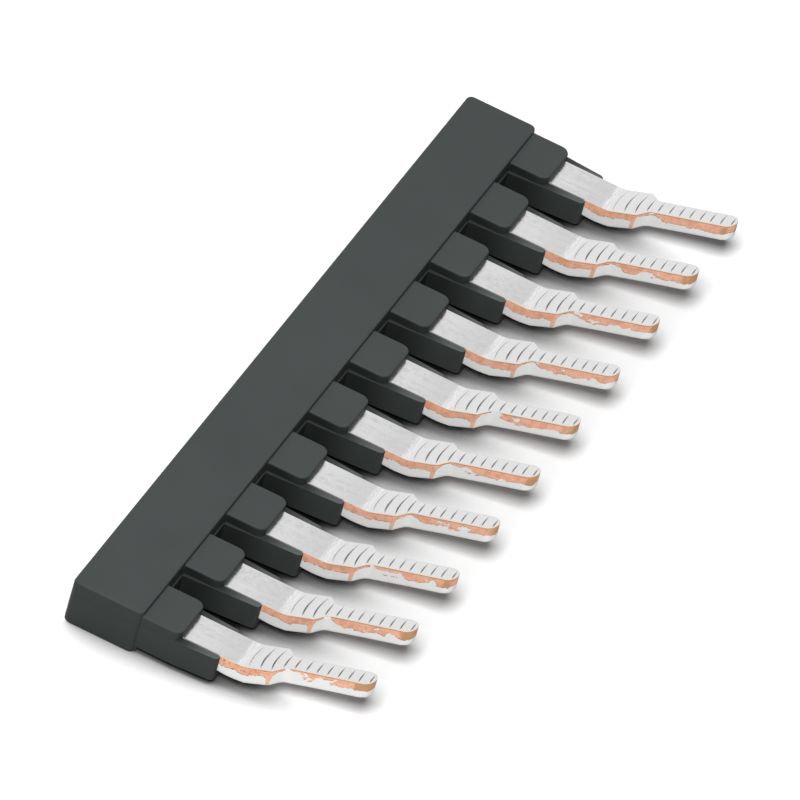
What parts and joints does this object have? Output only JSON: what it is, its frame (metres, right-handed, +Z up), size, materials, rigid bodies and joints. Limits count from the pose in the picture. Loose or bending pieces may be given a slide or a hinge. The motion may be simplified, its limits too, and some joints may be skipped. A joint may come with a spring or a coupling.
{
  "type": "terminal block jumper",
  "caption": "Push-in comb jumper that links neighbouring screw terminals: bent, serrated copper tongues on a common strip, moulded into an insulating bar.",
  "frame": {"origin": "middle of the footprint, on the level of the bar's underside", "axes": "+X along the row of tongues, -Y from the bar towards the tongue tips, +Z up through the bar's marking face"},
  "size_m": [0.06, 0.0202, 0.0051],
  "materials": {
    "housing": "satin dark grey moulded polyamide, fine eroded mould texture",
    "contact_comb": "matt tin plate on copper, bare copper on the punched sides"
  },
  "bodies": {
    "root": {"housing": "housing", "contact_comb": "contact_comb"}
  },
  "joints": []
}
